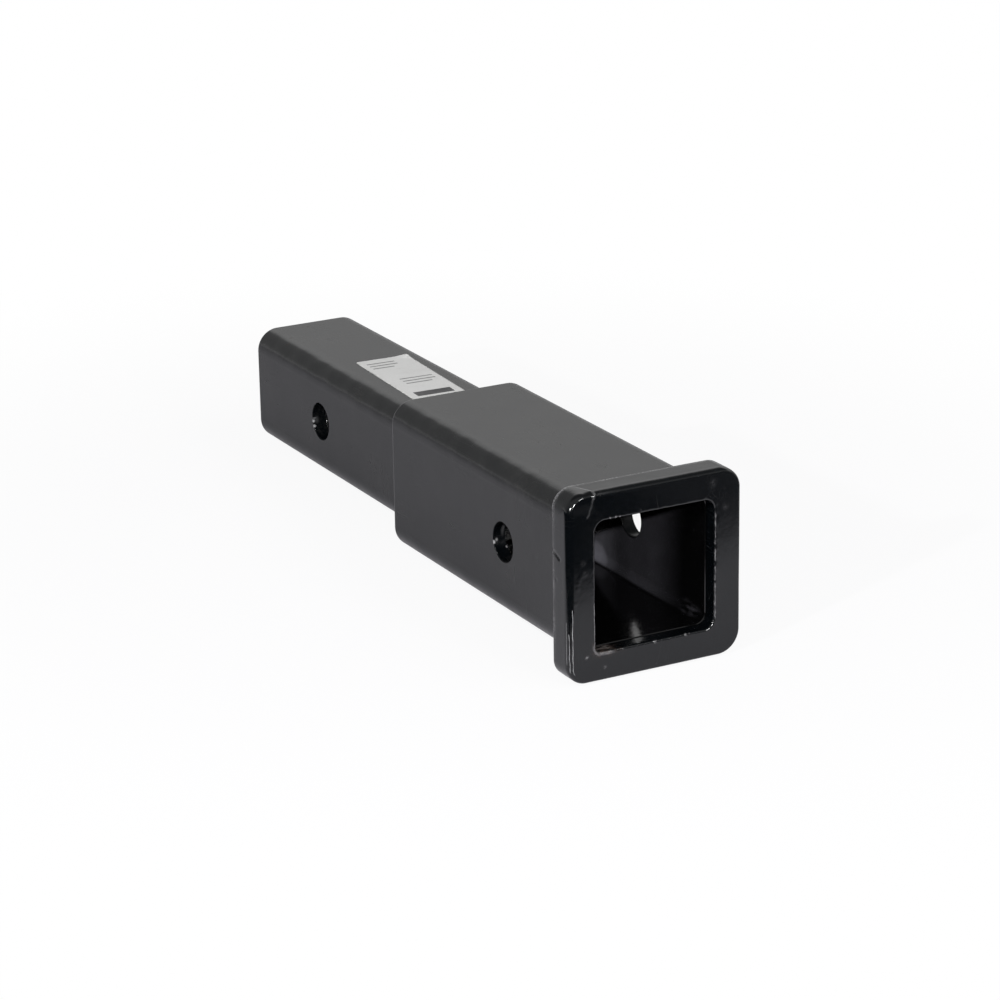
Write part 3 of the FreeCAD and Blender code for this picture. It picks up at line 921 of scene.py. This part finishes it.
def make_label(material):
    """The sticker: a thin sheet with rounded corners, small bubbles and one lifted corner."""
    low, high = box_mm("label")
    across_steps, along_steps = 60, 160
    lift_height, lift_reach, lift_below, sunk = 0.5, 4.0, 0.95, 0.02
    half = np.array(LABEL_SIZE) / 2

    # A flat grid whose four corners are pulled in to their radius, then turned and set in place.
    u, v = np.meshgrid(np.linspace(-1, 1, across_steps + 1), np.linspace(-1, 1, along_steps + 1))
    flat = np.stack([u, v], axis=-1) * half
    inner = half - LABEL_CORNER
    over = np.maximum(np.abs(flat) - inner, 0)
    far = np.linalg.norm(over, axis=-1, keepdims=True)
    pull = np.where(far > LABEL_CORNER, LABEL_CORNER / np.maximum(far, TINY), 1.0)
    flat = np.sign(flat) * (np.minimum(np.abs(flat), inner) + over * pull)
    cos, sin = math.cos(math.radians(LABEL_TURN)), math.sin(math.radians(LABEL_TURN))
    x = LABEL_CENTRE[0] + flat[..., 0] * cos - flat[..., 1] * sin
    y = LABEL_CENTRE[1] + flat[..., 0] * sin + flat[..., 1] * cos

    place = np.stack([x, y, 0 * x], axis=-1)
    bubbles = (0.10 * np.clip(noise_at(place, 4, 2.0) - 0.25, 0, 1)
               + 0.05 * np.clip(noise_at(place, 13, 9.0), 0, 1))
    lift = lift_height * bell(np.linalg.norm(flat - half, axis=-1), lift_reach)
    top, bottom = (
        np.stack([x, y, height], axis=-1).reshape(-1, 3)
        for height in (high.z + bubbles + lift, low.z - sunk + lift_below * lift))

    columns, count = across_steps + 1, len(top)
    faces = []
    for i in range(along_steps):
        for j in range(across_steps):
            a = i * columns + j
            quad = (a, a + 1, a + 1 + columns, a + columns)
            faces.append(quad)
            faces.append(tuple(count + k for k in reversed(quad)))
    rim = list(range(columns))
    rim += [i * columns + across_steps for i in range(1, along_steps + 1)]
    rim += [along_steps * columns + j for j in range(across_steps - 1, -1, -1)]
    rim += [i * columns for i in range(along_steps - 1, 0, -1)]
    for a, b in zip(rim, rim[1:] + rim[:1]):
        faces.append((b, a, count + a, count + b))
    vertices = np.concatenate([top, bottom])
    return add_piece("label_sheet", vertices, faces, material, ["label"])


def dress(node, material):
    """Gives a CAD node one material."""
    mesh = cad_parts[node].data
    mesh.materials.clear()
    mesh.materials.append(material)


def make_floor():
    """A pale table top that touches the collar's lower edge and the shank's lower end.

    The camera sees it white, a little less so near the part, for the shadow. Gloss sees it
    nearly black in front of the part and to its left, and a little paler far to the right.
    """
    slope = (SHANK_LOW.z - COLLAR_LOW.z) / (SHANK_HIGH.y - COLLAR_HIGH.y)
    mesh = bpy.data.meshes.new("floor")
    corners = []
    for forward, right in ((-1, -1), (-1, 1), (1, 1), (1, -1)):
        point = (BACKDROP_WAY * (FLOOR_REACH * forward)
                 + BACKDROP_RIGHT * (FLOOR_REACH * right))
        rise = slope * (point.y - COLLAR_HIGH.y * MM)
        corners.append((point.x, point.y, COLLAR_LOW.z * MM + rise - FLOOR_GAP))
    mesh.from_pydata(corners, [], [(0, 1, 2, 3)])
    floor = bpy.data.objects.new("floor", mesh)
    bpy.context.scene.collection.objects.link(floor)

    surface = Surface("floor")
    path = surface.add("LightPath")

    def along(way, *ends):
        return surface.ramp(surface.vector("DOT_PRODUCT", surface.place, way), *ends)

    bright = surface.product(
        along(FLOOR_FRONT_WAY, -340, -286), along(FLOOR_LEFT_WAY, -232, -185))
    dark = surface.ramp(surface.x, 98, 130, 0.02, 0.14)
    far_tone = along(FLOOR_FAR_WAY, -225, -150, 1.0, 0.82)
    tone = surface.product(surface.blend(bright, dark, 1.0), far_tone)
    tone = surface.blend(path.outputs["Is Glossy Ray"], 1.0, tone)
    colour = surface.mix(tone, (0, 0, 0, 1), FLOOR_TINT)
    diffuse = surface.add("BsdfDiffuse", {"Color": colour})
    white = surface.add("Emission", {"Color": (1, 1, 1, 1), "Strength": 1.0})
    away = surface.vector("LENGTH", surface.vector("SUBTRACT", surface.place, (0, -100, -38)))
    whiteness = surface.ramp(away, 150, 420, 0.90, 1.0)
    share = surface.product(path.outputs["Is Camera Ray"], whiteness)
    mix = surface.add("MixShader", {0: share, 1: diffuse.outputs[0], 2: white.outputs[0]})
    surface.add("OutputMaterial", {"Surface": mix.outputs[0]})
    surface.material.cycles.emission_sampling = "NONE"
    mesh.materials.append(surface.material)


def make_world():
    """White for the camera, plain soft light on surfaces, and for gloss the studio around."""
    world = bpy.data.worlds.new("studio")
    bpy.context.scene.world = world
    world.use_nodes = True
    world.cycles.sampling_method = "NONE"
    nodes = Nodes(world.node_tree)
    way = nodes.add("TexCoord").outputs["Generated"]
    forward = nodes.vector("DOT_PRODUCT", way, tuple(BACKDROP_WAY))
    right = nodes.vector("DOT_PRODUCT", way, tuple(BACKDROP_RIGHT))
    height = nodes.add("SeparateXYZ", {0: way}).outputs[2]
    degrees = 180 / math.pi
    up = nodes.product(nodes.maths("ARCSINE", height), degrees)
    around = nodes.product(nodes.maths("ARCTAN2", right, forward), degrees)

    # A grey wall behind the part and a darker front, under a dark ceiling, with a bright screen.
    level = nodes.blend(
        nodes.ramp(forward, -0.45, 0.10), nodes.ramp(up, *FRONT_LEVEL), nodes.ramp(up, *WALL_LEVEL))
    ceiling = nodes.product(nodes.ramp(up, 37, 46), nodes.ramp(forward, -0.1, 0.35))
    level = nodes.blend(ceiling, level, CEILING_LEVEL)
    screen = nodes.product(
        nodes.ramp(around, -28, -21), nodes.ramp(around, 95, 70),
        nodes.ramp(up, 38, 34), nodes.ramp(up, 2, 8))
    level = nodes.blend(screen, level, nodes.ramp(up, *SCREEN_LEVEL))

    path = nodes.add("LightPath")
    shiny = nodes.larger(path.outputs["Is Glossy Ray"], path.outputs["Is Transmission Ray"])
    plain = nodes.add("Background", {"Color": nodes.blend(shiny, SOFT_LEVEL, level)})
    white = nodes.add("Background", {"Color": (1, 1, 1, 1)})
    seen = {0: path.outputs["Is Camera Ray"], 1: plain.outputs[0], 2: white.outputs[0]}
    mix = nodes.add("MixShader", seen)
    nodes.add("OutputWorld", {"Surface": mix.outputs[0]})


def make_lamp(name, direction, size, power, shows_on):
    """A square soft lamp that faces the part's middle, and shows on gloss or on matt surfaces."""
    lamp = bpy.data.lights.new(name, "AREA")
    lamp.size = size
    lamp.energy = power
    holder = bpy.data.objects.new(name, lamp)
    bpy.context.scene.collection.objects.link(holder)
    way = Vector(direction).normalized()
    holder.location = LAMP_TARGET + way * LAMP_DISTANCE
    holder.rotation_euler = way.to_track_quat("Z", "Y").to_euler()
    holder.visible_glossy = shows_on == "gloss"
    holder.visible_diffuse = shows_on == "matt"


make_camera()
dress("shank_tube", make_shank_coat())
dress("receiver_tube", make_receiver_coat())
make_collar(make_collar_coat())
weld_coat = make_weld_coat()
make_bead("step_bead", "step_weld", SHANK_HIGH.x, STEP_LOW, STEP_HIGH, weld_coat, 0.0)
make_bead("collar_bead", "collar_weld", RECEIVER_HIGH.x, BEAD_LOW, BEAD_HIGH, weld_coat, 30.0)
make_burrs(weld_coat)
make_label(make_label_paper())
make_floor()
make_world()
for lamp in LAMPS:
    make_lamp(*lamp)

bpy.context.scene.view_settings.view_transform = "Standard"
